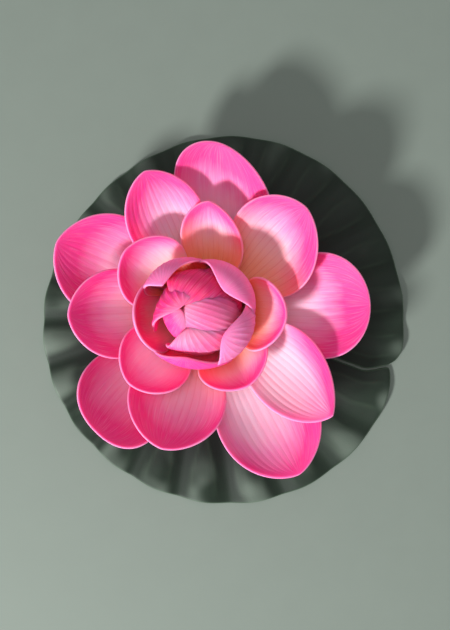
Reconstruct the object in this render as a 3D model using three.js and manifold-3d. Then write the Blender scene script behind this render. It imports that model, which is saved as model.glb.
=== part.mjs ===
// Floating lotus flower on a leaf pad, made of pressed foam sheet.
// Millimetres, +Z up. The origin lies on the flower's axis, at the surface that the flower stands on.
//
// Every whorl is one die-cut foam sheet: a hub disc with five petals. The sheets and the leaf pad
// are stacked on a post, which stands in a cap below the pad.

import * as THREE from 'three';
import { mergeVertices } from 'three/addons/utils/BufferGeometryUtils.js';
import Module from 'manifold-3d';

const wasm = await Module();
wasm.setup();

// ---------------------------------------------------------------- driving dimensions

const GAP = 0.3;                    // clearance between stacked or nested pieces

const CAP = { radius: 14, height: 2.4, chamfer: 0.5, socketFloor: 1.0 };
const POST = { radius: 2.0, headRadius: 4.5, headHeight: 2.4, domeShares: [0.35, 0.7, 0.92] };
const HOLE_RADIUS = POST.radius + GAP;

const SHEET = 1.6;                  // thickness of the foam of the hub discs and the pad
const PETAL_SHEET = 1.5;            // foam of the petals, thinned a little by the hot press
const PITCH = SHEET + GAP;          // height from one hub disc to the next

const PAD = {
  radius: 89.8,                     // of the rim
  centreDistance: 10.8,             // the rim's centre lies off the flower's axis
  centreAngle: -27.4,               // degrees
  puffs: 23,                        // pressed bulges round the rim
  puffHeight: 3.0,
  puffLow: { angle: 50, share: 0.5 },      // by which share they are lower, and on which side
  puffPower: 1.5,                   // rounds the creases between them
  puffStart: 42,                    // distance from the axis at which the bulges begin
  slopeStart: 12,                   // the pad slopes down between these two distances
  slopeEnd: 60,
  // How far the rim's radius swells and shrinks, how often round the pad, and its start in degrees.
  lobeWaves: [{ height: 1.0, count: 2, start: 220 }, { height: 1.0, count: 3, start: 152 }],
  notchAngle: -20.3,
  notchGap: 1.0,                    // between the notch's parallel sides
  notchBend: { degrees: 3.5, start: 82, end: 96 },   // the notch swings aside near the rim
  // Each corner is rounded over these degrees, from this distance from the axis out to the rim.
  notchCorners: { above: { degrees: 9, start: 92 }, below: { degrees: 15, start: 94 } },
  restHeight: 0.2,                  // how far the lowest creases stay off the surface
};

const CLAW = 3.4;                   // half width of a petal where it leaves its hub disc
const ROOT = 2.5;                   // how far a petal runs on, level, inside its hub disc
const HUB_EDGE = 0.6;               // how far the hub disc reaches past the petals' claws
const OUTLINE = { rise: 1.15, blunt: 0.65 };
const RIB = 0.22;                   // height of a rib over the petal's even surface

// Angles are in degrees, lengths in millimetres. `az` is the direction that the petal points in.
// `rise` is the slope at the claw, `bend` what it gains evenly along the petal, and `fold` what it
// gains near the tip. `cup` is how far each margin turns up, and `sway` moves the tip sideways.
const WHORLS = [
  {
    name: 'whorl_1_outer', hubRadius: 10, ribs: 6, rows: 8, colour: '#f46fb0',
    petals: [
      { az: 71, length: 71, width: 51, rise: 12, bend: 31, cup: 38, sway: 17, blunt: 0.55 },
      { az: 155, length: 70, width: 51, rise: 12, bend: 28, cup: 38 },
      { az: 225, length: 70, width: 47, rise: 12, bend: 28, cup: 38, sway: 4, blunt: 0.4 },
      { az: 301, length: 81, width: 50, rise: 11, bend: 24, cup: 34, sway: -1 },
      { az: 3, length: 71, width: 52, rise: 11, bend: 26, cup: 38, sway: -1, blunt: 0.5 },
    ],
  },
  {
    name: 'whorl_2_outer', hubRadius: 9.5, ribs: 6, rows: 8, colour: '#f684bc',
    petals: [
      { az: 113, length: 66, width: 39, rise: 16, bend: 27, cup: 40, blunt: 0.7 },
      { az: 182, length: 60, width: 44, rise: 18, bend: 28, cup: 40 },
      { az: 253, length: 64, width: 48, rise: 18, bend: 28, cup: 40 },
      { az: 328, length: 72, width: 39, rise: 17, bend: 24, cup: 36, sway: -9, blunt: 0.8 },
      { az: 40, length: 65, width: 48, rise: 19, bend: 30, cup: 40, sway: 5 },
    ],
  },
  {
    name: 'whorl_3_middle', hubRadius: 9, ribs: 5, rows: 7, colour: '#f28aa8',
    petals: [
      { az: 79, length: 48, width: 32, rise: 23, bend: 24, cup: 45, sway: 7, blunt: 0.75 },
      { az: 143, length: 45, width: 39, rise: 23, bend: 30, cup: 45 },
      { az: 224, length: 47, width: 38, rise: 21, bend: 30, cup: 45 },
      { az: 300, length: 39, width: 38, rise: 22, bend: 32, cup: 45 },
      { az: 356, length: 41, width: 38, rise: 29, bend: 36, cup: 50 },
    ],
  },
  {
    name: 'whorl_4_cup', hubRadius: 8, ribs: 5, rows: 8, colour: '#ea5f9a',
    petals: [
      { az: 187, length: 42, width: 38, rise: 30, bend: 42, fold: 28, cup: 50 },
      { az: 120, length: 46, width: 35, rise: 28, bend: 58, fold: 104, cup: 55, sway: 10, blunt: 0.9 },
      { az: 44, length: 47, width: 41, rise: 30, bend: 77, fold: 95, cup: 60 },
      { az: 334, length: 47, width: 41, rise: 30, bend: 75, fold: 100, cup: 60, sway: -6 },
      { az: 262, length: 42, width: 38, rise: 26, bend: 63, fold: 61, cup: 38, sway: -5 },
    ],
  },
  {
    name: 'whorl_5_bud', hubRadius: 6.5, ribs: 4, rows: 8, colour: '#e23c86',
    petals: [
      { az: 128, length: 43, width: 50, rise: 34, bend: 89, fold: 68, cup: 60, sway: 6 },
      { az: 62, length: 53, width: 41, rise: 34, bend: 128, fold: 110, cup: 60, sway: 9 },
      { az: 338, length: 60, width: 27, rise: 32, bend: 169, fold: 67, cup: 55, sway: -2 },
      { az: 213, length: 40, width: 38, rise: 36, bend: 79, fold: 77, cup: 60, sway: -4 },
      { az: 289, length: 46, width: 41, rise: 34, bend: 89, fold: 101, cup: 60, sway: -8 },
    ],
  },
];

// Heights of the middle of each stacked sheet.
const padHubHeight = CAP.height + GAP + SHEET / 2;
const hubHeight = (index) => padHubHeight + PITCH * (index + 1);
const postTop = hubHeight(WHORLS.length - 1) + SHEET / 2 + GAP;

// ---------------------------------------------------------------- small helpers

const radians = THREE.MathUtils.degToRad;
const smooth = THREE.MathUtils.smoothstep;
const clamp = THREE.MathUtils.clamp;

/** A three.js geometry as a manifold solid. */
function toSolid(geometry) {
  const bare = geometry.clone();
  bare.deleteAttribute('normal');
  bare.deleteAttribute('uv');
  const merged = mergeVertices(bare, 1e-5);
  return new wasm.Manifold(new wasm.Mesh({
    numProp: 3,
    vertProperties: new Float32Array(merged.attributes.position.array),
    triVerts: new Uint32Array(merged.index.array),
  }));
}

/** A manifold solid as a three.js geometry. */
function toGeometry(solid) {
  const mesh = solid.getMesh();
  const geometry = new THREE.BufferGeometry();
  geometry.setAttribute('position', new THREE.BufferAttribute(mesh.vertProperties, 3));
  geometry.setIndex(new THREE.BufferAttribute(mesh.triVerts, 1));
  geometry.computeVertexNormals();
  return geometry;
}

/** A body of revolution about Z from [radius, height] pairs. */
function turned(profile, segments) {
  const points = profile.map(([radius, height]) => new THREE.Vector2(radius, height));
  return new THREE.LatheGeometry(points, segments).rotateX(Math.PI / 2);
}

/**
 * A closed sheet of even thickness over a grid of middle points.
 * `point(i, j)` gives a middle point and its unit normal. Both faces are split into triangles in
 * the same way, so a waved sheet never crosses itself. Rows marked `single` have one point only.
 */
function sheetGeometry(rows, columns, thickness, point, single = () => false) {
  const positions = [];
  const index = [];
  const ids = [[], []];
  for (let face = 0; face < 2; face += 1) {
    const offset = (face === 0 ? 0.5 : -0.5) * thickness;
    for (let i = 0; i <= rows; i += 1) {
      const row = [];
      for (let j = 0; j <= columns; j += 1) {
        if (j > 0 && single(i)) {
          row.push(row[0]);
        } else {
          const { middle, normal } = point(i, j);
          const place = middle.clone().addScaledVector(normal, offset);
          row.push(positions.length / 3);
          positions.push(place.x, place.y, place.z);
        }
      }
      ids[face].push(row);
    }
  }
  const [top, bottom] = ids;
  const triangle = (a, b, c) => {
    if (a !== b && b !== c && a !== c) index.push(a, b, c);
  };
  for (let i = 0; i < rows; i += 1) {
    for (let j = 0; j < columns; j += 1) {
      triangle(top[i][j], top[i + 1][j], top[i + 1][j + 1]);
      triangle(top[i][j], top[i + 1][j + 1], top[i][j + 1]);
      triangle(bottom[i][j], bottom[i + 1][j + 1], bottom[i + 1][j]);
      triangle(bottom[i][j], bottom[i][j + 1], bottom[i + 1][j + 1]);
    }
  }
  const wall = (path) => {
    for (let k = 0; k + 1 < path.length; k += 1) {
      const [i, j] = path[k];
      const [m, n] = path[k + 1];
      triangle(top[i][j], bottom[i][j], bottom[m][n]);
      triangle(top[i][j], bottom[m][n], top[m][n]);
    }
  };
  const span = (count) => Array.from({ length: count + 1 }, (_, k) => k);
  wall(span(rows).map((i) => [i, 0]));
  wall(span(columns).map((j) => [rows, j]));
  wall(span(rows).map((i) => [rows - i, columns]));
  wall(span(columns).map((j) => [0, columns - j]));
  const geometry = new THREE.BufferGeometry();
  geometry.setAttribute('position', new THREE.Float32BufferAttribute(positions, 3));
  geometry.setIndex(index);
  return geometry;
}

// ---------------------------------------------------------------- petals

/** Share of a petal's half width at s: 0 at the claw, 1 at the belly, 0 at the tip. */
function breadth(s, blunt) {
  const belly = OUTLINE.rise / (OUTLINE.rise + blunt);
  const at = (x) => x ** OUTLINE.rise * (1 - x) ** blunt;
  return at(s) / at(belly);
}

/** The line along a petal's middle: radius, height and slope at every s from 0 to 1. */
function centreLine(petal, startRadius, startHeight) {
  const steps = 200;
  const slope = (s) => radians(petal.rise + petal.bend * s + (petal.fold ?? 0) * s ** 4);
  const points = [{ radius: startRadius, height: startHeight }];
  const step = petal.length / steps;
  for (let k = 0; k < steps; k += 1) {
    const angle = slope((k + 0.5) / steps);
    const last = points[k];
    points.push({
      radius: last.radius + step * Math.cos(angle),
      height: last.height + step * Math.sin(angle),
    });
  }
  return (s) => {
    if (s < 0) return { radius: startRadius + s * petal.length, height: startHeight, slope: 0 };
    const k = Math.min(Math.floor(s * steps), steps - 1);
    const share = s * steps - k;
    return {
      radius: THREE.MathUtils.lerp(points[k].radius, points[k + 1].radius, share),
      height: THREE.MathUtils.lerp(points[k].height, points[k + 1].height, share),
      slope: slope(s),
    };
  };
}

/**
 * One petal, on the smooth surface that its centre line carries.
 * Across the petal the surface is an arc, so that both margins turn up by `cup` at full width.
 * The ribs run along it: the columns of points lie in turn a little above and below that surface.
 */
function petalGeometry(petal, whorl, height) {
  const line = centreLine(petal, whorl.hubRadius, height);
  const columns = whorl.ribs * 2;
  const blunt = petal.blunt ?? OUTLINE.blunt;
  const curl = radians(petal.cup) / (petal.width / 2);
  const turn = new THREE.Matrix4().makeRotationZ(radians(petal.az));
  const surface = (s, t) => {
    const { radius, height: level, slope } = line(s);
    const from = Math.max(s, 0);
    const halfWidth = petal.width / 2 * breadth(from, blunt) + CLAW * (1 - from) ** 4;
    const angle = curl * t * halfWidth;
    const across = Math.sin(angle) / curl;
    const up = (1 - Math.cos(angle)) / curl;
    const sway = (petal.sway ?? 0) * s ** 2;
    return new THREE.Vector3(
      radius - up * Math.sin(slope),
      sway + across,
      level + up * Math.cos(slope),
    ).applyMatrix4(turn);
  };
  const normalAt = (s, t) => {
    const d = 0.002;
    const [s0, s1] = [Math.min(s - d, 1 - 3 * d), Math.min(s + d, 1 - d)];
    const along = surface(s1, t).sub(surface(s0, t));
    const held = clamp(s, 0, 0.97);
    const across = surface(held, Math.min(t + 0.02, 1)).sub(surface(held, Math.max(t - 0.02, -1)));
    return along.cross(across).normalize();
  };
  const point = (i, j) => {
    const s = i === 0 ? -ROOT / petal.length : 1 - (1 - (i - 1) / (whorl.rows - 1)) ** 1.6;
    const t = 2 * j / columns - 1;
    const normal = normalAt(s, i === whorl.rows ? 0 : t);
    const rim = j === 0 || j === columns || i === whorl.rows;
    const side = rim ? 0 : (j % 2 === 0 ? -1 : 1);
    const fade = smooth(s, 0.02, 0.3) * (1 - smooth(s, 0.85, 1));
    const middle = surface(s, t).addScaledVector(normal, side * RIB * fade);
    return { middle, normal };
  };
  return sheetGeometry(whorl.rows, columns, PETAL_SHEET, point, (i) => i === whorl.rows);
}

/** A whorl: its hub disc with the hole for the post, and the petals that grow from the disc. */
function whorlGeometry(whorl, index) {
  const height = hubHeight(index);
  const edge = whorl.hubRadius + HUB_EDGE;
  const hub = turned([
    [HOLE_RADIUS, height - SHEET / 2],
    [edge, height - SHEET / 2],
    [edge, height + SHEET / 2],
    [HOLE_RADIUS, height + SHEET / 2],
    [HOLE_RADIUS, height - SHEET / 2],
  ], 20);
  let solid = toSolid(hub);
  for (const petal of whorl.petals) {
    solid = solid.add(toSolid(petalGeometry(petal, whorl, height)));
  }
  // Where folded petals press together they can enclose a crumb of air: only the outer body stays.
  const bodies = solid.decompose().sort((a, b) => b.volume() - a.volume());
  return toGeometry(bodies[0]);
}

// ---------------------------------------------------------------- leaf pad

/** Distance from the axis to the pad's rim in the direction `angle`, in radians. */
function padRim(angle) {
  const off = angle - radians(PAD.centreAngle);
  const sine = PAD.centreDistance * Math.sin(off);
  const round = PAD.centreDistance * Math.cos(off) + Math.sqrt(PAD.radius ** 2 - sine ** 2);
  const wave = ({ height, count, start }) => height * Math.cos(count * angle + radians(start));
  return PAD.lobeWaves.reduce((rim, lobes) => rim + wave(lobes), round);
}

/** The pad: a notched disc, pressed into a ring of bulges that grow towards the rim. */
function padGeometry() {
  const perPuff = 4;
  const columns = PAD.puffs * perPuff;
  const shares = [0, 0.2, 0.5, 0.72, 0.88, 1];
  const { above, below } = PAD.notchCorners;
  // The direction at the share q of the way round, from one side of the notch to the other.
  const direction = (q, radius) => {
    const open = PAD.notchGap / 2 / radius;
    const { degrees, start, end } = PAD.notchBend;
    const bend = radians(degrees) * smooth(radius, start, end) * (1 - 2 * q) ** 12;
    return radians(PAD.notchAngle) + bend + open + (2 * Math.PI - 2 * open) * q;
  };
  const rounded = (rim, past, { degrees, start }) => {
    const share = clamp(past / radians(degrees), 0, 1);
    return THREE.MathUtils.lerp(start, rim, Math.sqrt(1 - (1 - share) ** 2));
  };
  const surface = (share, q) => {
    const rim = padRim(direction(q, PAD.radius));
    const turn = 2 * Math.PI * q;
    const reach = Math.min(rounded(rim, turn, above), rounded(rim, 2 * Math.PI - turn, below));
    const radius = THREE.MathUtils.lerp(HOLE_RADIUS, reach, share);
    const angle = direction(q, radius);
    const out = smooth(radius, PAD.puffStart, rim);
    const puff = Math.abs(Math.sin(Math.PI * PAD.puffs * q)) ** PAD.puffPower;
    const floor = PAD.restHeight + SHEET / 2;
    const sunk = smooth(radius, PAD.slopeStart, PAD.slopeEnd);
    const level = THREE.MathUtils.lerp(padHubHeight, floor, sunk);
    const { angle: side, share: lowered } = PAD.puffLow;
    const tall = 1 - lowered * (1 + Math.cos(angle - radians(side))) / 2;
    const height = level + PAD.puffHeight * tall * puff * out;
    return new THREE.Vector3(radius * Math.cos(angle), radius * Math.sin(angle), height);
  };
  const point = (i, j) => {
    const middle = surface(shares[i], j / columns);
    return { middle, normal: new THREE.Vector3(0, 0, 1) };
  };
  return sheetGeometry(shares.length - 1, columns, SHEET, point);
}

// ---------------------------------------------------------------- cap and post

/** The cap: a chamfered disc with a blind socket for the post. */
function capGeometry() {
  const { radius, height, chamfer, socketFloor } = CAP;
  return turned([
    [0, 0],
    [radius - chamfer, 0],
    [radius, chamfer],
    [radius, height - chamfer],
    [radius - chamfer, height],
    [HOLE_RADIUS, height],
    [HOLE_RADIUS, socketFloor],
    [0, socketFloor],
  ], 30);
}

/** The post: a pin that holds the stack, with a domed head above the topmost hub disc. */
function postGeometry() {
  const { radius, headRadius, headHeight, domeShares } = POST;
  const foot = CAP.socketFloor + GAP;
  const dome = domeShares.map((share) => [
    headRadius * Math.sqrt(1 - share ** 2),
    postTop + headHeight * share,
  ]);
  return turned([
    [0, foot],
    [radius, foot],
    [radius, postTop],
    [headRadius, postTop],
    ...dome,
    [0, postTop + headHeight],
  ], 20);
}

// ---------------------------------------------------------------- assembly

const FINISH = {
  cap: { color: '#2c3a31', roughness: 0.5, metalness: 0 },
  post: { color: '#e8d9c9', roughness: 0.5, metalness: 0 },
  pad: { color: '#2f4a38', roughness: 0.55, metalness: 0 },
  petal: { roughness: 0.6, metalness: 0 },
};

function piece(name, geometry, finish) {
  const mesh = new THREE.Mesh(geometry, new THREE.MeshStandardMaterial(finish));
  mesh.name = name;
  return mesh;
}

const group = new THREE.Group();
group.add(piece('base_cap', capGeometry(), FINISH.cap));
group.add(piece('leaf_pad', padGeometry(), FINISH.pad));
WHORLS.forEach((whorl, index) => {
  const finish = { ...FINISH.petal, color: whorl.colour };
  group.add(piece(whorl.name, whorlGeometry(whorl, index), finish));
});
group.add(piece('centre_post', postGeometry(), FINISH.post));

export default group;
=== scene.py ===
"""Floating lotus flower of pressed foam sheet on a leaf pad, as finely shaped and coloured surfaces.

Metres, +Z up, in the frame of the CAD part. Lengths in the tables below are millimetres and angles
degrees. Every whorl is one foam sheet: a hub disc with five petals, worked out from the same values
as the CAD solids, with ribs pressed into it and a rounded cut edge.
"""

import math

import bpy
import numpy as np
from bpy.props import FloatProperty, FloatVectorProperty, IntProperty, PointerProperty
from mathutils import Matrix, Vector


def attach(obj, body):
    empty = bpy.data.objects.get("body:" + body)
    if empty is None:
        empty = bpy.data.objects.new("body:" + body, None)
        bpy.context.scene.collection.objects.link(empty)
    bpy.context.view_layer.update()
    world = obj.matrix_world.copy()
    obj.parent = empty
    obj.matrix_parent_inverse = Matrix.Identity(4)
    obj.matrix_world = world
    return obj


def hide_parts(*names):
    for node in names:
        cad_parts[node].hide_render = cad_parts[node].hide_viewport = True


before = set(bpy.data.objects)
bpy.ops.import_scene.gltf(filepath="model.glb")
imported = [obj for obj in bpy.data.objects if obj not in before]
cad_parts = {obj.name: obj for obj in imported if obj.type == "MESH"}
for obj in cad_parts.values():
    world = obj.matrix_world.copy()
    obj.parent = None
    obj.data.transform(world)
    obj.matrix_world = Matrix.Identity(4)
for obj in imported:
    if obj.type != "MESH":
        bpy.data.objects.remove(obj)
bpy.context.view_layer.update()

bl_info = {
    "name": "Floating lotus flower",
    "version": (1, 0, 0),
    "blender": (4, 5, 0),
    "location": "3D View > Sidebar > Lotus",
    "description": "Builds a foam lotus flower on its leaf pad",
    "category": "Add Mesh",
}

MM = 0.001
FULL_TURN = 2 * math.pi


def tone(red, green, blue):
    """A colour given as 0 to 255 display values, as the linear values that a shader takes."""
    parts = [value / 255 for value in (red, green, blue)]
    return tuple(p / 12.92 if p <= 0.04045 else ((p + 0.055) / 1.055) ** 2.4 for p in parts)


# ---------------------------------------------------------------- the part's own dimensions

GAP = 0.3                  # clearance between stacked pieces
SHEET = 1.6                # foam of the hub discs and the pad
PITCH = SHEET + GAP        # height from one hub disc to the next

# The cap has a shallow recess below, out to a sloped side, and a blind socket for the post.
CAP = dict(
    radius=14.0, height=2.4, socket_floor=1.0, recess_height=0.25, recess_top=9.0, recess_foot=9.4,
    rounding=0.18, segments=128,
)

# The post's head is a dome, given by the radius and the height of its corners over its base.
POST = dict(
    radius=2.0, dome=((4.5, 0.0), (4.2, 0.9), (3.2, 1.7), (1.7, 2.25)), head_height=2.4,
    rounding=0.12, segments=96,
)

HOLE_RADIUS = POST["radius"] + GAP
HUB_BASE = CAP["height"] + GAP + SHEET / 2      # height of the middle of the pad's hub
PINHOLE = 0.05             # radius that a turned profile keeps clear of the axis
CORNER_POINTS = 5          # on a rounded corner of a turned profile

CLAW = 3.4                 # half width of a petal where it leaves its hub disc
ROOT = 2.5                 # how far a petal runs on inside its hub disc
OUTLINE_RISE = 1.15        # a petal's outline: how fast it widens, and how blunt its tip is
OUTLINE_BLUNT = 0.65
LINE_POINTS = 401          # places along a petal's middle at which its slope is added up
TIP_CROWDING = 1.6         # power by which the rows of faces crowd towards a petal's tip
RIM_CROWDING = 0.85        # and towards the pad's rim
EDGE_STEPS = (0, 0.08, 0.3, 0.62)      # the grid's lines on a rounded edge, as shares of its width
EDGE_MOST = 0.5            # a rounded edge takes at most this share of a petal's half width
NO_WIDTH = 1e-6            # keeps a division by a petal's width defined at its tip
NO_LENGTH = 1e-12          # and one by a normal's length

# A hub disc reaches past the petals' claws. Its paint is that of a petal's base, far from a margin.
HUB = dict(edge=0.6, rounding=0.35, segments=96, look=0.5)
HUB_PLACE = dict(along=0.0, across=0.0, margin=20.0, outer=0.0, half_width=5.0, petal=9.0)

# A rib's height is a sine to a power, less `sunk`. It comes in along the petal and inwards from the
# margin, loses a share towards the tip, and swings a little across, along and from petal to petal.
RIBS = dict(
    power=0.8, sunk=0.5, along=(0.04, 0.3), inwards=(0.4, 5.0), tip=(0.8, 1), tip_share=0.6,
    even=0.8, swing=0.2, swing_across=7, swing_along=9, swing_petal=2,
)

# The looks of a petal where its row says no other: how far the pink reaches in from the margin, how
# warm its base is, a print that is partly painted warm shade, how much deep pink lies over the petal,
# how pink its outer face is, how strongly its ribs stand out, in relief and in the painted shade of
# their grooves, and to which margin the pink leans: 1 is the left one, looking out along the petal,
# and -1 the right one.
LOOKS = dict(blush=1.0, warm=0.0, deep=0.0, rosy=0.2, ribbed=0.6, lean=0.0)


def petal(az, length, width, rise, bend, cup, fold=0, sway=0, blunt=OUTLINE_BLUNT, **looks):
    """One petal's values. `rise`, `bend` and `fold` give its slope, `cup` how far its margins turn up."""
    shape = dict(az=az, length=length, width=width, rise=rise, bend=bend, cup=cup)
    return dict(**shape, fold=fold, sway=sway, blunt=blunt, **{**LOOKS, **looks})


WHORLS = [
    dict(node="whorl_1_outer", slot="outer_petals", hub_radius=10, ribs=15, back="back", petals=[
        petal(71, 71, 51, 12, 31, 38, sway=17, blunt=0.55, blush=1.2, warm=0.3, ribbed=0.15, lean=-0.6),
        petal(155, 70, 51, 12, 28, 38, blush=1.3, warm=0.2, ribbed=0.5, lean=0.4),
        petal(225, 70, 47, 12, 28, 38, sway=4, blunt=0.4,
              blush=1.1, warm=0.2, deep=0.15, ribbed=0.4, lean=0.3),
        petal(301, 81, 50, 11, 24, 34, sway=-1, warm=0.05, ribbed=0.5, lean=0.5),
        petal(3, 71, 52, 11, 26, 38, sway=-1, blunt=0.5, blush=1.25, warm=0.2, ribbed=0.5),
    ]),
    dict(node="whorl_2_outer", slot="outer_petals", hub_radius=9.5, ribs=14, back="back", petals=[
        petal(113, 66, 39, 16, 27, 40, blunt=0.7, blush=1.1, warm=0.3, ribbed=0.8, lean=0.5),
        petal(182, 60, 44, 18, 28, 40, blush=1.2, warm=0.35, ribbed=0.6, lean=0.3),
        petal(253, 64, 48, 18, 28, 40, blush=1.15, warm=0.4, deep=0.1, ribbed=0.6, lean=-0.4),
        petal(328, 72, 39, 17, 24, 36, sway=-9, blunt=0.8, blush=0.75, warm=0.1, ribbed=0.75, lean=0.8),
        petal(40, 65, 48, 19, 30, 40, sway=5, blush=1.1, warm=0.75, ribbed=0.8, lean=-0.6),
    ]),
    dict(node="whorl_3_middle", slot="middle_petals", hub_radius=9, ribs=12, back="back", petals=[
        petal(79, 48, 32, 23, 24, 45, sway=7, blunt=0.75, blush=0.9, warm=0.9, ribbed=0.5),
        petal(143, 45, 39, 23, 30, 45, blush=0.9, warm=0.6, ribbed=0.3, lean=0.5),
        petal(224, 47, 38, 21, 30, 45, blush=0.9, warm=0.2, ribbed=0.15),
        petal(300, 39, 38, 22, 32, 45, blush=0.85, warm=0.9, ribbed=0.2),
        petal(356, 41, 38, 29, 36, 50, blush=0.8, warm=1, ribbed=0.3, lean=-0.3),
    ]),
    dict(node="whorl_4_cup", slot="inner_petals", hub_radius=8, ribs=12, back="back", petals=[
        petal(187, 42, 38, 30, 42, 50, fold=28, blush=1.2, warm=0.3, deep=0.4, ribbed=0.4),
        petal(120, 46, 35, 28, 58, 55, fold=104, sway=10, blunt=0.9,
              blush=0.9, warm=0.9, deep=0.6, ribbed=0.8),
        petal(44, 47, 41, 30, 77, 60, fold=95, warm=0.6, deep=0.7, ribbed=0.3),
        petal(334, 47, 41, 30, 75, 60, fold=100, sway=-6, blush=0.7, warm=0.6, deep=0.6, ribbed=1.2),
        petal(262, 42, 38, 26, 63, 38, fold=61, sway=-5,
              blush=1.6, warm=0.2, deep=0.35, rosy=1.4, ribbed=0.3),
    ]),
    dict(node="whorl_5_bud", slot="bud_petals", hub_radius=6.5, ribs=12, back="pale", petals=[
        petal(128, 43, 50, 34, 89, 60, fold=68, sway=6, blush=1.5, deep=0.25, rosy=1, ribbed=2.2),
        petal(62, 53, 41, 34, 128, 60, fold=110, sway=9, blush=1.6, deep=0.6, rosy=0.9, ribbed=2.2),
        petal(338, 60, 27, 32, 169, 55, fold=67, sway=-2, blush=0.8, rosy=0.75, ribbed=1),
        petal(213, 40, 38, 36, 79, 60, fold=77, sway=-4, blush=1.2, rosy=0.9, ribbed=0.5),
        petal(289, 46, 41, 34, 89, 60, fold=101, sway=-8, blush=0.8, rosy=0.75, ribbed=1.3),
    ]),
]

PAD = dict(
    radius=89.7,                # 0.1 less than the solid's, so that the rounded rim stays inside it
    centre_distance=10.8, centre_angle=-27.4,       # the rim's centre lies off the flower's axis
    lobe_waves=((1.0, 2, 220), (1.0, 3, 152)),      # height, count and start in degrees
    puffs=23, puff_height=3.0, puff_power=1.5, puff_start=42,
    low_angle=50, low_share=0.5,                    # by which share the bulges are lower, and where
    slope_start=12, slope_end=60, rest_height=0.2,
    notch_angle=-20.3, notch_gap=1.0, bend_degrees=3.5, bend_start=82, bend_end=96, bend_power=12,
    above=dict(degrees=9, start=92), below=dict(degrees=15, start=94),      # the notch's corners
    least_radius=12,            # inside it, columns keep the angles that they have there
)

# A vein is a bell curve across its line. It comes in away from the hub, forks, and ends at the rim.
VEIN = dict(width=0.75, out=(14, 26), fork=(52, 84), fork_apart=5.5, end=(0.93, 0.99))


# ---------------------------------------------------------------- finishes and stage

# Noises over a petal: how often they repeat across and along it, how far a petal's number shifts
# them sideways and in depth, and their detail.
PETAL_NOISES = dict(streak=(9, 1.6, 7, 3, 3.0), cloud=(1.4, 2.2, 5, 1, 2.0), fibre=(60, 6, 11, 1, 3.0))

# How a petal is printed. A pair says where a smooth step begins and ends: along the petal from 0 to
# 1, or inwards from its margin in millimetres.
PRINT = dict(
    reach=0.6, reach_least=3, reach_lean=0.8,               # how far in the hot margin reaches
    rim_power=1.4, rim_lean=0.5, rim_share=0.75,            # how it fades, and its strength
    tip=(0.45, 1.0), tip_swing=0.2, tip_share=0.6,          # the hot tip
    begin=0.5, begin_blush=0.35, full=0.85, full_blush=0.25,        # where both come in
    flush=0.35, cloud=0.16,                                 # pink all over, and how cloudy it is
    mid_stop=0.45, hot_stop=0.92,                           # how pink rose and hot pink are
    # The base's colour, partly the print's and partly painted warm shade: where it begins and ends along
    # the petal, and how much warmth moves and strengthens it.
    base=0.1, base_warm=0.25, base_end=0.45, base_end_warm=0.5, base_swing=0.2, base_share=0.75,
    back_pink=0.4, back_tip=(0.72, 0.98), back_tip_share=0.6,       # the outer face
    deep_base=0.5,                                          # how much the base holds off deep pink
)
# Painted shade in the grooves between the ribs: where it comes in across, along and inwards from the
# margin, and its strength with the streaks.
GROOVE_SHADE = dict(across=(0.7, 1.0), along=(0.1, 0.35), inwards=(0.8, 5.0), share=0.12, streak=0.3)
FIBRE = dict(seen=(0.45, 0.75), share=0.12)
CUT_EDGE = dict(inwards=(0.1, 0.5), share=0.15, streak=0.6)

# How the pad's painted light and shade are mixed: shares of its painted light, and where its painted
# highlights, veins and cut rim come up.
PAD_LIGHT = dict(puff=(0.25, 1.0), puff_share=0.15, out=(0.65, 1.0), out_share=0.6, cloud=0.8, streak=0.2)
# Painted highlights on the bulges near the rim: how high on a bulge, how far out, in which patches, and
# how strong.
PAD_HIGHLIGHT = dict(puff=(0.3, 0.9), out=(0.68, 0.88), patch=(0.38, 0.66), share=0.55)
PAD_VEIN_SHARE = 0.1
PAD_RIM = dict(inwards=(0.2, 0.9), share=0.5)

# The pad's noises repeat so often in a metre, and its streaks so often in a radian and on the way
# from the axis to the rim.
PAD_NOISES = dict(cloud=38.0, patch=55.0, speck=1500.0, streak_round=26, streak_out=3)

RINGS_PER_METRE = 1400     # turning marks on the moulded pieces

# The stage is in metres, and its lights' power in watts. The camera looks straight down.
FLOOR_REACH = 4.0          # from the axis to the floor's sides
LIT_PLACE = (0.01, 0.0, 0.02)
LIGHTS = (
    dict(name="key_light", azimuth=229, elevation=31, distance=1.3, size=0.19, power=25.0),
    dict(name="top_light", azimuth=120, elevation=78, distance=1.5, size=0.9, power=4.6),
)
STUDIO = dict(colour=(0.97, 0.98, 1.0, 1), strength=0.36)
CAMERA = dict(place=(0.0093, -0.002, 0.33), lens=37.9, sensor=36)


# ---------------------------------------------------------------- sizes and colours that can be changed


def length(name, description, millimetres):
    """A length property, stored in metres."""
    return FloatProperty(
        name=name, description=description, default=millimetres * MM, min=0, precision=5,
        subtype="DISTANCE", unit="LENGTH",
    )


def colour(name, description, red, green, blue):
    """A colour property, from 0 to 255 display values."""
    return FloatVectorProperty(
        name=name, description=description, subtype="COLOR", size=3, min=0, max=1,
        default=tone(red, green, blue),
    )


class LotusSizes(bpy.types.PropertyGroup):
    """Sizes of the pressed foam's fine relief, and how finely the sheets are divided."""

    petal_foam: length("Petal foam", "Thickness of the petals", 1.5)
    hub_foam: length("Hub and pad foam", "Thickness of the hub discs and the pad", 1.6)
    edge_round: length("Edge rounding", "Width over which the cut edge is rounded", 1.1)
    rib_height: length("Rib height", "Height of the ribs pressed into the petals", 0.24)
    vein_height: length("Vein height", "Height of the veins pressed into the leaf pad", 0.15)
    columns_per_rib: IntProperty(
        name="Columns per rib", description="Columns of faces across one rib", default=6, min=3,
    )
    petal_rows: IntProperty(
        name="Petal rows", description="Rows of faces along one petal", default=64, min=8,
    )
    columns_per_puff: IntProperty(
        name="Columns per bulge", description="Columns of faces across one bulge of the pad",
        default=18, min=4,
    )
    pad_rows: IntProperty(
        name="Pad rows", description="Rows of faces from the pad's hole to its rim", default=56, min=8,
    )


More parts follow.
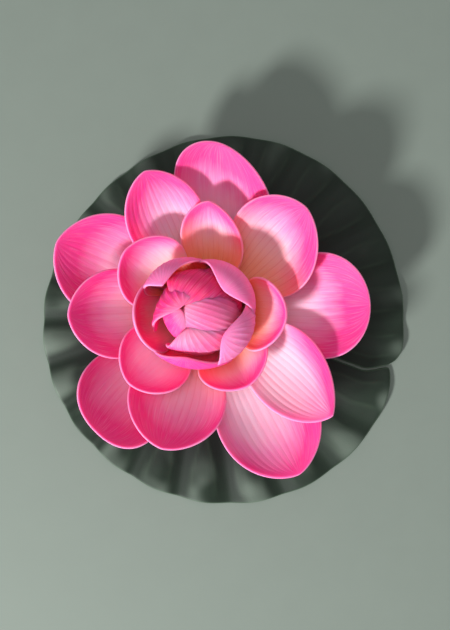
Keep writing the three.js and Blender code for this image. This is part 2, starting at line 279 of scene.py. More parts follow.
class LotusColours(bpy.types.PropertyGroup):
    """Colours of the printed foam and of the moulded parts."""

    hot: colour("Hot pink", "Margins and tips of the petals", 254, 56, 144)
    mid: colour("Rose pink", "Between the margin and the pale middle", 253, 132, 184)
    pale: colour("Pale pink", "Middle of the petals", 250, 206, 222)
    deep: colour("Deep pink", "Darkest petals of the cup and the bud", 238, 36, 98)
    cream: colour("Cream", "Base of the outer petals", 252, 224, 196)
    # Partly the print's warm base, partly painted warm shade at the petals' bases.
    salmon: colour("Salmon", "Base of the inner petals", 252, 136, 72)
    back: colour("Mauve pink", "Outer faces of the petals", 232, 150, 200)
    # Painted shade: darkens and tints the grooves between the ribs.
    groove_shade: colour("Groove tint", "Tint of the grooves between the ribs", 226, 90, 146)
    edge: colour("Cut edge", "The foam's cut edge", 251, 164, 202)
    leaf: colour("Leaf green", "The leaf pad", 34, 50, 37)
    # Painted shade in the pad's creases and on its middle near the flower.
    leaf_shade: colour("Dark green", "Creases of the leaf pad", 10, 16, 10)
    # Painted highlight on the pad's bulges.
    leaf_highlight: colour("Spot green", "Light spots on the pad's bulges", 126, 140, 127)
    leaf_vein: colour("Vein green", "Veins of the leaf pad", 84, 104, 82)
    leaf_rim: colour("Rim green", "Cut rim of the leaf pad", 84, 104, 84)
    cap: colour("Cap green", "The moulded cap below the pad", 44, 58, 49)
    post: colour("Post ivory", "The moulded post", 232, 217, 201)
    floor: colour("Floor", "The plain floor", 125, 135, 126)


# ---------------------------------------------------------------- shader maths


class Value:
    """A material's socket. Arithmetic on it adds Math nodes to the material."""

    def __init__(self, paint, socket):
        self.paint = paint
        self.socket = socket

    def _math(self, operation, *values):
        inputs = dict(enumerate(values))
        return self.paint.node("ShaderNodeMath", dict(operation=operation), inputs)

    def __add__(self, other):
        return self._math("ADD", self, other)

    def __radd__(self, other):
        return self._math("ADD", other, self)

    def __sub__(self, other):
        return self._math("SUBTRACT", self, other)

    def __rsub__(self, other):
        return self._math("SUBTRACT", other, self)

    def __mul__(self, other):
        return self._math("MULTIPLY", self, other)

    def __rmul__(self, other):
        return self._math("MULTIPLY", other, self)

    def __truediv__(self, other):
        return self._math("DIVIDE", self, other)

    def __pow__(self, other):
        return self._math("POWER", self, other)

    def __abs__(self):
        return self._math("ABSOLUTE", self)

    def clamped(self):
        return self.paint.node("ShaderNodeClamp", {}, {"Value": self})

    def fraction(self):
        return self._math("FRACT", self)

    def swing(self, strength):
        """A noise's swing about its middle, a half, times `strength`."""
        return (self - 0.5) * strength


class Paint:
    """One procedural material, built up from nodes."""

    # The colour sockets of a Mix node share their names with its other sockets, so they go by number.
    MIX_SHARE, MIX_FIRST, MIX_SECOND, MIX_RESULT = 0, 6, 7, 2

    def __init__(self, name):
        self.material = bpy.data.materials.new(name)
        self.material.use_nodes = True
        self.tree = self.material.node_tree
        self.shader = next(n for n in self.tree.nodes if n.type == "BSDF_PRINCIPLED")

    def node(self, kind, settings, inputs, output=0):
        """Adds a node, sets it, then sets or links its inputs. Returns one of its outputs."""
        node = self.tree.nodes.new(kind)
        for name, value in settings.items():
            if name == "stops":
                self._stops(node.color_ramp, value)
            else:
                setattr(node, name, value)
        for name, value in inputs.items():
            self._give(node.inputs[name], value)
        return Value(self, node.outputs[output])

    @staticmethod
    def _stops(ramp, stops):
        while len(ramp.elements) < len(stops):
            ramp.elements.new(0.5)
        for element, (position, shade) in zip(ramp.elements, stops):
            element.position = position
            element.color = (*shade, 1)

    def _give(self, socket, value):
        if isinstance(value, Value):
            self.tree.links.new(value.socket, socket)
        elif socket.type == "RGBA":
            socket.default_value = (*value[:3], 1)
        else:
            socket.default_value = value

    def attribute(self, name):
        return self.node("ShaderNodeAttribute", dict(attribute_name=name), {}, "Fac")

    def place(self):
        """The point's place in the object, in metres."""
        return self.node("ShaderNodeTexCoord", {}, {}, "Object")

    def vector(self, x, y, z):
        return self.node("ShaderNodeCombineXYZ", {}, {0: x, 1: y, 2: z})

    def noise(self, vector, scale, detail, roughness=0.5):
        inputs = {"Vector": vector, "Scale": scale, "Detail": detail, "Roughness": roughness}
        return self.node("ShaderNodeTexNoise", {}, inputs, "Fac")

    def step(self, value, low, high):
        """0 below `low`, 1 above `high`, and a smooth rise between them."""
        settings = dict(interpolation_type="SMOOTHSTEP")
        inputs = {"Value": value, "From Min": low, "From Max": high}
        return self.node("ShaderNodeMapRange", settings, inputs)

    def mix(self, share, first, second, blend="MIX"):
        """`first` where `share` is 0, `second` where it is 1."""
        settings = dict(data_type="RGBA", blend_type=blend)
        inputs = {self.MIX_SHARE: share, self.MIX_FIRST: first, self.MIX_SECOND: second}
        return self.node("ShaderNodeMix", settings, inputs, self.MIX_RESULT)

    def bump(self, height, distance, strength):
        inputs = {"Height": height, "Distance": distance, "Strength": strength}
        return self.node("ShaderNodeBump", {}, inputs)

    def finish(self, **inputs):
        """Sets or links the shader's own sockets, named with underscores, and returns the material."""
        for name, value in inputs.items():
            self._give(self.shader.inputs[name.replace("_", " ")], value)
        return self.material


# ---------------------------------------------------------------- surfaces


def smooth(value, low, high):
    """0 below `low`, 1 above `high`, and 3x² - 2x³ between them."""
    share = np.clip((value - low) / (high - low), 0, 1)
    return share * share * (3 - 2 * share)


def rounded(depth, width):
    """Share of the full thickness at a distance `depth` from a cut edge that is rounded over `width`.

    A quarter circle: the root of 1 - (1 - depth / width)², and 1 past the rounding.
    """
    return np.sqrt(1 - (1 - np.clip(depth / width, 0, 1)) ** 2)


def normals(points):
    """Unit normals of a grid of points: rows' direction crossed with columns' direction."""
    along = np.gradient(points, axis=0)
    across = np.gradient(points, axis=1)
    found = np.cross(along, across)
    return found / np.maximum(np.linalg.norm(found, axis=-1, keepdims=True), NO_LENGTH)


class Skin:
    """A mesh in the making: points, faces and values at the points, from several closed surfaces."""

    def __init__(self):
        self.points = []
        self.faces = []
        self.values = {}
        self.count = 0

    def add(self, points, faces, **values):
        """Adds a closed surface. `faces` are arrays of point numbers, one row a face."""
        self.points.append(points)
        for group in faces:
            self.faces += (group + self.count).tolist()
        for name, value in values.items():
            self.values.setdefault(name, []).append(np.broadcast_to(value, len(points)))
        self.count += len(points)

    def piece(self, name, material, node):
        """Makes the object, which rides on the part and stands for the CAD node."""
        mesh = bpy.data.meshes.new(name)
        mesh.from_pydata(np.concatenate(self.points) * MM, [], self.faces)
        mesh.polygons.foreach_set("use_smooth", np.ones(len(self.faces), bool))
        for key, values in self.values.items():
            attribute = mesh.attributes.new(key, "FLOAT", "POINT")
            attribute.data.foreach_set("value", np.concatenate(values).astype(np.float32))
        mesh.materials.append(material)
        mesh.update()
        made = bpy.data.objects.new(name, mesh)
        bpy.context.scene.collection.objects.link(made)
        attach(made, "root")
        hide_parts(node)


def closed_sheet(middle, upper, lower, pole, **fields):
    """A closed sheet from grids of points: its middle surface and its upper and lower sides.

    The sides meet in the middle's points on all four borders. Where `pole` is true the last row is
    a single point. Returns the points, the faces, and the values of `fields` at the points, with
    `outer`, which is 1 on the lower side and 0 elsewhere.
    """
    for border in (np.s_[0, :], np.s_[-1, :], np.s_[:, 0], np.s_[:, -1]):
        lower[border] = upper[border] = middle[border]
    rows, columns = upper.shape[:2]
    top = np.arange(rows * columns).reshape(rows, columns)
    if pole:
        top[-1] = top[-1, 0]
    inner = np.zeros((rows, columns), bool)
    inner[1:-1, 1:-1] = True
    bottom = top.copy()
    bottom[inner] = rows * columns + np.arange(inner.sum())
    last = rows - 2 if pole else rows - 1

    def quads(ids, flip):
        corners = [ids[:last, :-1], ids[1:last + 1, :-1], ids[1:last + 1, 1:], ids[:last, 1:]]
        corners = corners[::-1] if flip else corners
        return np.stack([c.ravel() for c in corners], 1)

    def fan(ids, flip):
        corners = [ids[-2, :-1], ids[-1, :-1], ids[-2, 1:]]
        corners = corners[::-1] if flip else corners
        return np.stack(corners, 1)

    faces = [quads(top, False), quads(bottom, True)]
    if pole:
        faces += [fan(top, False), fan(bottom, True)]
    points = np.concatenate([upper.reshape(-1, 3), lower[inner]])
    used = np.unique(np.concatenate([group.ravel() for group in faces]))
    renumber = np.full(len(points), -1)
    renumber[used] = np.arange(len(used))
    places = np.concatenate([np.arange(rows * columns), np.flatnonzero(inner.ravel())])[used]
    values = {name: field.ravel()[places] for name, field in fields.items()}
    values["outer"] = (used >= rows * columns).astype(float)
    return points[used], [renumber[group] for group in faces], values


def turned(profile, segments):
    """A closed profile of [radius, height] pairs carried round the Z axis in `segments` steps."""
    profile = np.asarray(profile, float)
    angle = np.linspace(0, FULL_TURN, segments, endpoint=False)
    radius, height = profile[:, :1], profile[:, 1:]
    points = np.stack([radius * np.cos(angle), radius * np.sin(angle), height + 0 * angle], -1)
    ids = np.arange(len(profile) * segments).reshape(len(profile), segments)
    after, beside = np.roll(ids, -1, 0), np.roll(ids, -1, 1)
    corner = np.roll(after, -1, 1)
    faces = np.stack([g.ravel() for g in (ids, beside, corner, after)], 1)
    return points.reshape(-1, 3), [faces]


def rounded_profile(corners, radius):
    """A closed profile whose corners are curves of second degree, which start `radius` from them."""
    corners = np.asarray(corners, float)
    before, after = np.roll(corners, 1, 0), np.roll(corners, -1, 0)
    pull = np.linspace(0, 1, CORNER_POINTS)[:, None]
    curved = []
    for corner, one, two in zip(corners, before, after):
        start = corner + (one - corner) / np.linalg.norm(one - corner) * radius
        end = corner + (two - corner) / np.linalg.norm(two - corner) * radius
        curved.append((1 - pull) ** 2 * start + 2 * pull * (1 - pull) * corner + pull ** 2 * end)
    return np.concatenate(curved)


# ---------------------------------------------------------------- petals


def breadth(s, blunt):
    """Share of a petal's half width at s: s^rise (1 - s)^blunt, scaled so that its most is 1."""
    belly = OUTLINE_RISE / (OUTLINE_RISE + blunt)
    most = belly ** OUTLINE_RISE * (1 - belly) ** blunt
    return s ** OUTLINE_RISE * (1 - s) ** blunt / most


def half_width(p, s):
    """Half width of a petal at s, with the claw that joins it to its hub disc."""
    s = np.clip(s, 0, 1)
    return p["width"] / 2 * breadth(s, p["blunt"]) + CLAW * (1 - s) ** 4


def centre_line(p, s, hub_radius, hub_height):
    """Radius, height and slope of the petal's middle at every s.

    The slope is rise + bend s + fold s⁴, and the line is its integral over the petal's length. Below
    s = 0 the line runs level inside the hub disc.
    """
    fine = np.linspace(0, 1, LINE_POINTS)
    slope = np.radians(p["rise"] + p["bend"] * fine + p["fold"] * fine ** 4)
    middle = (slope[1:] + slope[:-1]) / 2
    step = p["length"] / (LINE_POINTS - 1)
    radius = hub_radius + np.concatenate([[0], np.cumsum(np.cos(middle) * step)])
    height = hub_height + np.concatenate([[0], np.cumsum(np.sin(middle) * step)])
    inside = np.minimum(s, 0) * p["length"]
    angle = np.where(s < 0, 0, np.interp(s, fine, slope))
    return np.interp(s, fine, radius) + inside, np.interp(s, fine, height), angle


def petal_grid(p, ribs, edge, sizes):
    """A petal's grid: s along it, x across it, and its half width in every row.

    The first row lies inside the hub disc, and the last one is the tip. The columns are even between
    the rounded edges, and a few more lie on the rounding of each edge.
    """
    u = np.linspace(0, 1, sizes.petal_rows)
    s = np.concatenate([[-ROOT / p["length"]], 1 - (1 - u) ** TIP_CROWDING])[:, None]
    wide = half_width(p, s)
    wide[-1] = 0
    rim = np.minimum(edge, wide * EDGE_MOST)
    inner = np.linspace(-1, 1, ribs * sizes.columns_per_rib + 1)
    near = np.array(EDGE_STEPS)
    x = np.concatenate([
        -(wide - rim * near), (wide - rim) * inner, (wide - rim * near[::-1]),
    ], 1)
    return s + 0 * x, x, wide + 0 * x


def petal_middle(p, s, x, hub_radius, hub_height):
    """Middle surface of a petal, turned to the petal's direction.

    At s along the petal and x across it, the point is the centre line's, moved across by
    sin(curl x) / curl, up along the line's normal by (1 - cos(curl x)) / curl, and aside by sway s².
    """
    radius, level, slope = centre_line(p, s, hub_radius, hub_height)
    curl = math.radians(p["cup"]) / (p["width"] / 2)
    up = (1 - np.cos(curl * x)) / curl
    side = p["sway"] * s ** 2 + np.sin(curl * x) / curl
    out = radius - up * np.sin(slope)
    height = level + up * np.cos(slope)
    cosine, sine = math.cos(math.radians(p["az"])), math.sin(math.radians(p["az"]))
    return np.stack([out * cosine - side * sine, out * sine + side * cosine, height], -1)


def rib_relief(full_height, s, share, depth, ribs, number):
    """Height of the ribs: rounded ridges with narrow grooves between them.

    A ridge is the size of a sine across the petal, to a power below 1, along lines of equal share of
    the width.
    """
    ridge = np.abs(np.sin(np.pi * ribs / 2 * (share + 1))) ** RIBS["power"] - RIBS["sunk"]
    fade = smooth(s, *RIBS["along"]) * smooth(depth, *RIBS["inwards"])
    fade = fade * (1 - RIBS["tip_share"] * smooth(s, *RIBS["tip"]))
    swing = RIBS["swing_across"] * share + RIBS["swing_along"] * s + RIBS["swing_petal"] * number
    return full_height * ridge * fade * (RIBS["even"] + RIBS["swing"] * np.sin(swing))


def petal_skin(skin, p, number, whorl, hub_height, sizes):
    """Adds one petal: its middle surface with the ribs' relief, and half the foam on each side.

    A point's depth is its distance from the outline, across the petal and square to its margin. The
    foam thins out over the edge's rounding.
    """
    edge = sizes.edge_round / MM
    s, x, wide = petal_grid(p, whorl["ribs"], edge, sizes)
    share = x / np.maximum(wide, NO_WIDTH)
    share[-1] = 0
    middle = petal_middle(p, s, x, whorl["hub_radius"], hub_height)
    facing = normals(middle)
    facing[-1] = facing[-2, facing.shape[1] // 2]

    taper = np.gradient(wide[:, 0], s[:, 0] * p["length"])[:, None]
    depth = np.maximum(wide - np.abs(x), 0) / np.sqrt(1 + taper ** 2)
    depth = np.minimum(depth, (1 - s) * p["length"])
    full_height = sizes.rib_height / MM * p["ribbed"]
    relief = rib_relief(full_height, s, share, depth, whorl["ribs"], number)
    thick = sizes.petal_foam / MM / 2 * rounded(depth, edge)
    thick[0] = 0
    upper = middle + facing * (relief + thick)[..., None]
    lower = middle + facing * (relief * (thick > 0) - thick)[..., None]
    points, faces, values = closed_sheet(
        middle, upper, lower, pole=True, along=s, across=share, margin=depth, half_width=wide,
    )
    looks = {look: p[look] for look in LOOKS}
    skin.add(points, faces, **values, petal=float(number), **looks)


def hub_skin(skin, radius, height, sizes):
    """Adds a hub disc with its hole, its edges rounded."""
    half = sizes.hub_foam / MM / 2
    corners = [
        [HOLE_RADIUS, height - half], [radius, height - half],
        [radius, height + half], [HOLE_RADIUS, height + half],
    ]
    points, faces = turned(rounded_profile(corners, HUB["rounding"]), HUB["segments"])
    skin.add(points, faces, **HUB_PLACE, **dict.fromkeys(LOOKS, HUB["look"]))


class PetalPrint:
    """The print on a whorl's petals.

    Its fields are what the paint reads at a point: the values that the mesh holds, the looks and the
    noises, each under its own name, and worked out from them how pink and how warm the point is.
    """

    def __init__(self, paint):
        self.paint = paint
        for name in ("along", "across", "margin", "outer", "half_width", "petal", *LOOKS):
            setattr(self, name, paint.attribute(name))
        for name, (across, along, shift, depth, detail) in PETAL_NOISES.items():
            place = paint.vector(
                self.across * across + self.petal * shift, self.along * along, self.petal * depth,
            )
            setattr(self, name, paint.noise(place, 1.0, detail))
        self.pink = self._pink()
        self.rooted = self._rooted()

    def _pink(self):
        """How pink: most at the margin and the tip, least in the middle and at the base."""
        reach = (PRINT["reach"] * self.half_width + PRINT["reach_least"]) * self.blush
        reach = reach * (1 + self.lean * self.across * PRINT["reach_lean"])
        rimmed = (1 - (self.margin / reach).clamped()) ** PRINT["rim_power"]
        rimmed = rimmed * (1 + self.lean * self.across * PRINT["rim_lean"])
        tipped = self.paint.step(self.along + self.streak.swing(PRINT["tip_swing"]), *PRINT["tip"])
        begin = PRINT["begin"] - PRINT["begin_blush"] * self.blush
        full = PRINT["full"] - PRINT["full_blush"] * self.blush
        outwards = self.paint.step(self.along, begin, full)
        flushed = PRINT["flush"] * (self.blush - 1).clamped()
        printed = rimmed * PRINT["rim_share"] + tipped * PRINT["tip_share"] * self.blush
        return (printed * outwards + flushed + self.cloud.swing(PRINT["cloud"])).clamped()

    def _rooted(self):
        """How much of the base's colour, partly print and partly painted warm shade, which reaches
        further out the warmer the petal is.
        """
        begin = PRINT["base"] + PRINT["base_warm"] * self.warm
        end = PRINT["base_end"] + PRINT["base_end_warm"] * self.warm
        return 1 - self.paint.step(self.along + self.cloud.swing(PRINT["base_swing"]), begin, end)

    def front(self, colours):
        """The inner face: from pale over rose to hot pink, with a base from cream to orange that is
        partly print and partly painted warm shade.
        """
        stops = [(0.0, colours.pale), (PRINT["mid_stop"], colours.mid), (PRINT["hot_stop"], colours.hot)]
        shade = self.paint.node("ShaderNodeValToRGB", dict(stops=stops), {"Fac": self.pink})
        # The base: cream to orange, partly print and partly painted warm shade.
        base = self.paint.mix(self.warm, colours.cream, colours.salmon)
        share = self.rooted * (PRINT["base_share"] + (1 - PRINT["base_share"]) * self.warm)
        return self.paint.mix(share.clamped(), shade, base)

    def back(self, plain, colours):
        """The outer face: the plain colour with some pink, less of it at the tip."""
        tip = PRINT["back_tip_share"] * self.paint.step(self.along, *PRINT["back_tip"])
        share = (self.pink * PRINT["back_pink"] + self.rosy * (1 - tip)).clamped()
        return self.paint.mix(share, plain, colours.hot)

    def groove_shading(self, ribs):
        """How much the painted shade darkens the grooves between the ribs."""
        groove_shade = abs(((self.across + 1) * (ribs / 2)).fraction() - 0.5) * 2
        groove_shade = self.paint.step(groove_shade, *GROOVE_SHADE["across"])
        groove_shade = groove_shade * self.paint.step(self.along, *GROOVE_SHADE["along"])
        groove_shade = groove_shade * self.paint.step(self.margin, *GROOVE_SHADE["inwards"])
        return (groove_shade * self.ribbed * (GROOVE_SHADE["share"] + GROOVE_SHADE["streak"] * self.streak)).clamped()


def petal_paint(whorl, colours):
    """Printed foam: hot pink margins over a pale middle and a warm base that is partly painted warm
    shade, with painted shade in the grooves and a cut edge.
    """
    paint = Paint("foam_" + whorl["node"])
    point = PetalPrint(paint)
    back = point.back(getattr(colours, whorl["back"]), colours)
    shade = paint.mix(point.outer, point.front(colours), back)

    # Deep pink lies over the faces that show: the bud's outer ones, the other whorls' inner ones.
    seen = point.outer if whorl["back"] == "pale" else 1 - point.outer
    deep = point.deep * seen * (1 - PRINT["deep_base"] * point.rooted)
    shade = paint.mix(deep, shade, colours.deep)

    # Painted shade in the grooves between the ribs.
    shade = paint.mix(point.groove_shading(whorl["ribs"]), shade, colours.groove_shade, "MULTIPLY")
    shade = paint.mix(paint.step(point.fibre, *FIBRE["seen"]) * FIBRE["share"], shade, (1, 1, 1))
    cut = 1 - paint.step(point.margin, *CUT_EDGE["inwards"])
    cut = cut * (CUT_EDGE["share"] + CUT_EDGE["streak"] * point.streak)
    shade = paint.mix(cut, shade, colours.edge)

    speck = paint.noise(paint.place(), 2600.0, 2.0)
    relief = paint.bump(point.fibre * 0.6 + speck * 0.4, distance=0.00012, strength=0.6)
    return paint.finish(
        Base_Color=shade, Roughness=0.5 + 0.14 * point.fibre, Normal=relief,
        Subsurface_Weight=0.65, Subsurface_Radius=(1.0, 0.48, 0.46), Subsurface_Scale=0.0035,
        Specular_IOR_Level=0.3,
    )


# ---------------------------------------------------------------- leaf pad


def pad_rim(angle):
    """Distance from the axis to the pad's rim: a circle set off the axis, plus two slow waves."""
    off = angle - math.radians(PAD["centre_angle"])
    distance = PAD["centre_distance"]
    chord = np.sqrt(PAD["radius"] ** 2 - (distance * np.sin(off)) ** 2)
    waves = [
        height * np.cos(count * angle + math.radians(start))
        for height, count, start in PAD["lobe_waves"]
    ]
    return distance * np.cos(off) + chord + sum(waves)


def pad_direction(q, distance):
    """Direction at the share q of the way round the pad, from one side of its notch to the other.

    The sides of the notch are parallel, and they swing aside near the rim. The swing fades round the
    pad as (1 - 2q)¹².
    """
    apart = PAD["notch_gap"] / 2 / distance
    bend = math.radians(PAD["bend_degrees"]) * smooth(distance, PAD["bend_start"], PAD["bend_end"])
    start = math.radians(PAD["notch_angle"]) + bend * (1 - 2 * q) ** PAD["bend_power"]
    return start + apart + (FULL_TURN - 2 * apart) * q


def corner_reach(rim, past, corner):
    """How far the pad reaches at an angle `past` one side of its notch, by a quarter ellipse."""
    part = np.clip(past / math.radians(corner["degrees"]), 0, 1)
    return corner["start"] + (rim - corner["start"]) * np.sqrt(1 - (1 - part) ** 2)


def pad_turns(share, edge, edge_steps, columns):
    """Angles past the notch of the pad's grid: even columns, and a few more on each cut side.

    The rim's rounding adds rows that repeat the last one's angles.
    """
    rough_radius = HOLE_RADIUS + share * (PAD["radius"] - HOLE_RADIUS)
    held = np.maximum(rough_radius, PAD["least_radius"])
    inset = edge / held
    steps = edge_steps / held
    inner = np.linspace(0, 1, columns + 1)
    turn = np.concatenate([
        steps, inset + (FULL_TURN - 2 * inset) * inner, FULL_TURN - steps[:, ::-1],
    ], 1)
    return np.concatenate([turn, np.repeat(turn[-1:], len(edge_steps), 0)], 0)


def pad_veins(q, radius, reach):
    """Veins, from 0 to 1: one along every bulge, a bell curve across its line, forked further out."""
    bulge = PAD["puffs"] * q
    local = np.abs(bulge - np.floor(bulge) - 0.5) * (FULL_TURN * radius / PAD["puffs"])
    fork = smooth(radius, *VEIN["fork"]) * VEIN["fork_apart"]
    vein = np.exp(-((local - fork) / VEIN["width"]) ** 2) * smooth(radius, *VEIN["out"])
    return vein * (1 - smooth(radius / reach, *VEIN["end"]))


def pad_skin(skin, sizes):
    """Adds the leaf pad.

    In polar coordinates round the flower's axis, with q as the share of the way round from one side
    of the notch to the other: the height falls smoothly from the hub to the resting level, and rises
    in a ring of bulges, each the size of a sine to a power. They are lower on one side, by a cosine.
    """
    edge = sizes.edge_round / MM
    edge_steps = np.array(EDGE_STEPS) * edge
    share = np.linspace(0, 1, sizes.pad_rows)[:, None] ** RIM_CROWDING
    turn = pad_turns(share, edge, edge_steps, PAD["puffs"] * sizes.columns_per_puff)
    q = turn / FULL_TURN

    rim = pad_rim(pad_direction(q, PAD["radius"]))
    reach = np.minimum(
        corner_reach(rim, turn, PAD["above"]), corner_reach(rim, FULL_TURN - turn, PAD["below"]),
    )
    body = HOLE_RADIUS + (reach[:sizes.pad_rows] - edge - HOLE_RADIUS) * share
    fringe = reach[sizes.pad_rows:] - edge_steps[::-1][:, None]
    radius = np.concatenate([body, fringe], 0)
    angle = pad_direction(q, radius)

    out = smooth(radius, PAD["puff_start"], rim)
    wave = np.abs(np.sin(np.pi * PAD["puffs"] * q))
    floor = PAD["rest_height"] + SHEET / 2
    level = HUB_BASE + (floor - HUB_BASE) * smooth(radius, PAD["slope_start"], PAD["slope_end"])
    tall = 1 - PAD["low_share"] * (1 + np.cos(angle - math.radians(PAD["low_angle"]))) / 2
    height = level + PAD["puff_height"] * tall * wave ** PAD["puff_power"] * out
    middle = np.stack([radius * np.cos(angle), radius * np.sin(angle), height], -1)
    vein = pad_veins(q, radius, reach)

    depth = np.minimum(reach - radius, radius - HOLE_RADIUS)
    from_notch = np.minimum(turn, FULL_TURN - turn) * np.maximum(radius, PAD["least_radius"])
    depth = np.minimum(depth, from_notch)
    thick = sizes.hub_foam / MM / 2 * rounded(np.maximum(depth, 0), edge)
    lift = np.array([0.0, 0.0, 1.0])
    upper = middle + lift * (sizes.vein_height / MM * vein + thick)[..., None]
    lower = middle - lift * thick[..., None]
    points, faces, values = closed_sheet(
        middle, upper, lower, pole=False,
        out=radius / rim, puff=wave * out * tall, vein=vein, margin=depth, turn=turn,
    )
    skin.add(points, faces, **values)


def pad_paint(colours):
    """Dark green foam with a soft sheen, and painted light and shade: lighter on the bulges and towards
    the rim, darkest in the creases and near the flower, with painted highlights on the bulges near the
    rim.
    """
    paint = Paint("foam_leaf_pad")
    puff = paint.attribute("puff")
    out = paint.attribute("out")
    turn = paint.attribute("turn")
    cloud = paint.noise(paint.place(), PAD_NOISES["cloud"], 4.0, roughness=0.6)
    speck = paint.noise(paint.place(), PAD_NOISES["speck"], 3.0)
    streaks = paint.vector(turn * PAD_NOISES["streak_round"], out * PAD_NOISES["streak_out"], 0.0)
    streak = paint.noise(streaks, 1.0, 3.0)

    # Painted light and shade: lighter on the bulges and towards the rim, darker in the creases and under
    # the flower.
    light = paint.step(puff, *PAD_LIGHT["puff"]) * PAD_LIGHT["puff_share"]
    light = light + PAD_LIGHT["out_share"] * paint.step(out, *PAD_LIGHT["out"])
    light = light + cloud.swing(PAD_LIGHT["cloud"]) + streak.swing(PAD_LIGHT["streak"])
    shade = paint.mix(light.clamped(), colours.leaf_shade, colours.leaf)

    # Painted highlights: light spots on the bulges near the rim, in patches.
    patch = paint.noise(paint.place(), PAD_NOISES["patch"], 0.6)
    patch = paint.step(patch, *PAD_HIGHLIGHT["patch"])
    painted_highlight = paint.step(puff, *PAD_HIGHLIGHT["puff"]) * paint.step(out, *PAD_HIGHLIGHT["out"]) * patch
    shade = paint.mix(painted_highlight * PAD_HIGHLIGHT["share"], shade, colours.leaf_highlight)
    shade = paint.mix(paint.attribute("vein") * PAD_VEIN_SHARE, shade, colours.leaf_vein)
    cut = 1 - paint.step(paint.attribute("margin"), *PAD_RIM["inwards"])
    shade = paint.mix(cut * PAD_RIM["share"], shade, colours.leaf_rim)

    relief = paint.bump(streak * 0.5 + speck * 0.5, distance=0.00015, strength=0.7)
    return paint.finish(
        Base_Color=shade, Roughness=0.5 + 0.2 * cloud, Normal=relief, Specular_IOR_Level=0.3,
    )


# ---------------------------------------------------------------- cap and post


def moulded_paint(name, shade, roughness):
    """Moulded plastic: fine turning rings and a slight mottle."""
    paint = Paint(name)
    place = paint.place()
    x, y = (paint.node("ShaderNodeSeparateXYZ", {}, {0: place}, axis) for axis in (0, 1))
    radius = (x * x + y * y) ** 0.5
    mottle = paint.noise(place, 900.0, 3.0)
    rings = abs((radius * RINGS_PER_METRE).fraction() - 0.5)
    relief = paint.bump(rings * 0.5 + mottle * 0.5, distance=0.00006, strength=0.6)
    darker = tuple(part * 0.7 for part in shade)
    return paint.finish(
        Base_Color=paint.mix(mottle, darker, shade), Roughness=roughness + 0.15 * mottle,
        Normal=relief,
    )


def turned_piece(name, corners, shape, material, node):
    """Makes a turned piece from its profile's corners and the rounding and segments of `shape`."""
    skin = Skin()
    skin.add(*turned(rounded_profile(corners, shape["rounding"]), shape["segments"]))
    skin.piece(name, material, node)


# ---------------------------------------------------------------- operators


class LOTUS_OT_cap(bpy.types.Operator):
    """Turn the moulded cap that the flower stands on"""

    bl_idname = "lotus.cap"
    bl_label = "Base cap"

    def execute(self, context):
        corners = [
            [PINHOLE, CAP["recess_height"]], [CAP["recess_top"], CAP["recess_height"]],
            [CAP["recess_foot"], 0.0], [CAP["radius"], 0.0], [CAP["radius"], CAP["height"]],
            [HOLE_RADIUS, CAP["height"]], [HOLE_RADIUS, CAP["socket_floor"]],
            [PINHOLE, CAP["socket_floor"]],
        ]
        paint = moulded_paint("plastic_cap", context.scene.lotus_colours.cap, roughness=0.4)
        turned_piece("base_cap_moulded", corners, CAP, paint, "base_cap")
        return {"FINISHED"}


class LOTUS_OT_pad(bpy.types.Operator):
    """Press the round leaf pad with its notch, bulges and veins"""

    bl_idname = "lotus.pad"
    bl_label = "Leaf pad"

    def execute(self, context):
        scene = context.scene
        skin = Skin()
        pad_skin(skin, scene.lotus_sizes)
        skin.piece("leaf_pad_foam", pad_paint(scene.lotus_colours), "leaf_pad")
        return {"FINISHED"}


class LOTUS_OT_petals(bpy.types.Operator):
    """Cut and press the five whorls of petals"""

    bl_idname = "lotus.petals"
    bl_label = "Petal whorls"

    def execute(self, context):
        scene = context.scene
        sizes = scene.lotus_sizes
        for index, whorl in enumerate(WHORLS):
            height = HUB_BASE + PITCH * (index + 1)
            skin = Skin()
            hub_skin(skin, whorl["hub_radius"] + HUB["edge"], height, sizes)
            for number, p in enumerate(whorl["petals"]):
                petal_skin(skin, p, number, whorl, height, sizes)
            paint = petal_paint(whorl, scene.lotus_colours)
            skin.piece(whorl["node"] + "_foam", paint, whorl["node"])
        return {"FINISHED"}


class LOTUS_OT_post(bpy.types.Operator):
    """Turn the post that holds the stack together"""

    bl_idname = "lotus.post"
    bl_label = "Centre post"

    def execute(self, context):
        foot = CAP["socket_floor"] + GAP
        top = HUB_BASE + PITCH * len(WHORLS) + SHEET / 2 + GAP
        corners = [
            [PINHOLE, foot], [POST["radius"], foot], [POST["radius"], top],
            *([radius, top + up] for radius, up in POST["dome"]), [PINHOLE, top + POST["head_height"]],
        ]
        paint = moulded_paint("plastic_post", context.scene.lotus_colours.post, roughness=0.45)
        turned_piece("centre_post_moulded", corners, POST, paint, "centre_post")
        return {"FINISHED"}


def area_light(name, azimuth, elevation, distance, size, power):
    """A round soft light that faces the flower from a direction and distance."""
    data = bpy.data.lights.new(name, "AREA")
    data.shape = "DISK"
    data.size = size
    data.energy = power
    made = bpy.data.objects.new(name, data)
    a, e = math.radians(azimuth), math.radians(elevation)
    away = Vector((math.cos(a) * math.cos(e), math.sin(a) * math.cos(e), math.sin(e)))
    made.location = Vector(LIT_PLACE) + away * distance
    made.rotation_euler = away.to_track_quat("Z", "Y").to_euler()
    bpy.context.scene.collection.objects.link(made)


def floor_paint(shade):
    """A plain matt floor with a slight mottle."""
    paint = Paint("floor_plain")
    mottle = paint.noise(paint.place(), 60.0, 4.0, roughness=0.6)
    darker = tuple(part * 0.93 for part in shade)
    return paint.finish(
        Base_Color=paint.mix(mottle, darker, shade), Roughness=0.7 + 0.1 * mottle,
        Specular_IOR_Level=0.3,
    )


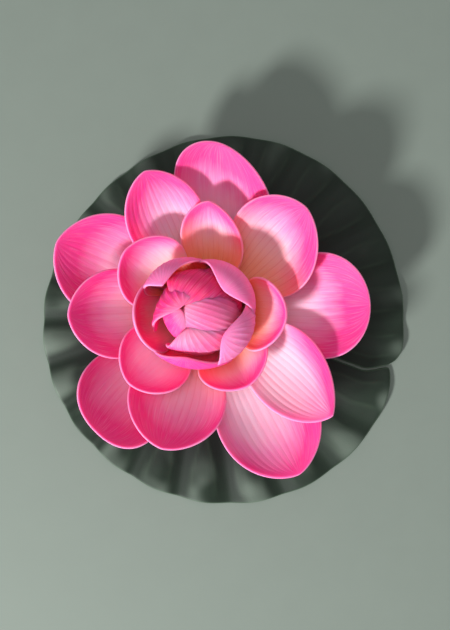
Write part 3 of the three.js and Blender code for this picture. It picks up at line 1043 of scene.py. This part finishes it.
class LOTUS_OT_stage(bpy.types.Operator):
    """Set the floor, the soft studio light and the camera"""

    bl_idname = "lotus.stage"
    bl_label = "Stage"

    def execute(self, context):
        scene = context.scene
        corners = [
            (-FLOOR_REACH, -FLOOR_REACH, 0), (FLOOR_REACH, -FLOOR_REACH, 0),
            (FLOOR_REACH, FLOOR_REACH, 0), (-FLOOR_REACH, FLOOR_REACH, 0),
        ]
        mesh = bpy.data.meshes.new("floor")
        mesh.from_pydata(corners, [], [(0, 1, 2, 3)])
        mesh.materials.append(floor_paint(scene.lotus_colours.floor))
        floor = bpy.data.objects.new("floor", mesh)
        scene.collection.objects.link(floor)

        for light in LIGHTS:
            area_light(**light)

        world = bpy.data.worlds.new("studio")
        world.use_nodes = True
        background = world.node_tree.nodes["Background"]
        background.inputs["Color"].default_value = STUDIO["colour"]
        background.inputs["Strength"].default_value = STUDIO["strength"]
        scene.world = world
        scene.view_settings.view_transform = "Standard"

        data = bpy.data.cameras.new("camera")
        data.lens = CAMERA["lens"]
        data.sensor_width = CAMERA["sensor"]
        camera = bpy.data.objects.new("camera", data)
        camera.location = CAMERA["place"]
        scene.collection.objects.link(camera)
        scene.camera = camera
        return {"FINISHED"}


class LOTUS_PT_panel(bpy.types.Panel):
    """Lists the pieces of the flower, with the sizes and colours that can be changed"""

    bl_idname = "LOTUS_PT_panel"
    bl_label = "Floating lotus"
    bl_space_type = "VIEW_3D"
    bl_region_type = "UI"
    bl_category = "Lotus"

    def draw(self, context):
        layout = self.layout
        for operator in OPERATORS:
            layout.operator(operator.bl_idname)
        for group in (context.scene.lotus_sizes, context.scene.lotus_colours):
            box = layout.box()
            for name in group.__annotations__:
                box.prop(group, name)


OPERATORS = (LOTUS_OT_cap, LOTUS_OT_pad, LOTUS_OT_petals, LOTUS_OT_post, LOTUS_OT_stage)
CLASSES = (LotusSizes, LotusColours, *OPERATORS, LOTUS_PT_panel)


def register():
    for each in CLASSES:
        bpy.utils.register_class(each)
    bpy.types.Scene.lotus_sizes = PointerProperty(type=LotusSizes)
    bpy.types.Scene.lotus_colours = PointerProperty(type=LotusColours)


def unregister():
    del bpy.types.Scene.lotus_colours
    del bpy.types.Scene.lotus_sizes
    for each in reversed(CLASSES):
        bpy.utils.unregister_class(each)


def main():
    """Builds every piece and the stage."""
    register()
    bpy.ops.lotus.cap()
    bpy.ops.lotus.pad()
    bpy.ops.lotus.petals()
    bpy.ops.lotus.post()
    bpy.ops.lotus.stage()


if __name__ == "__main__":
    main()
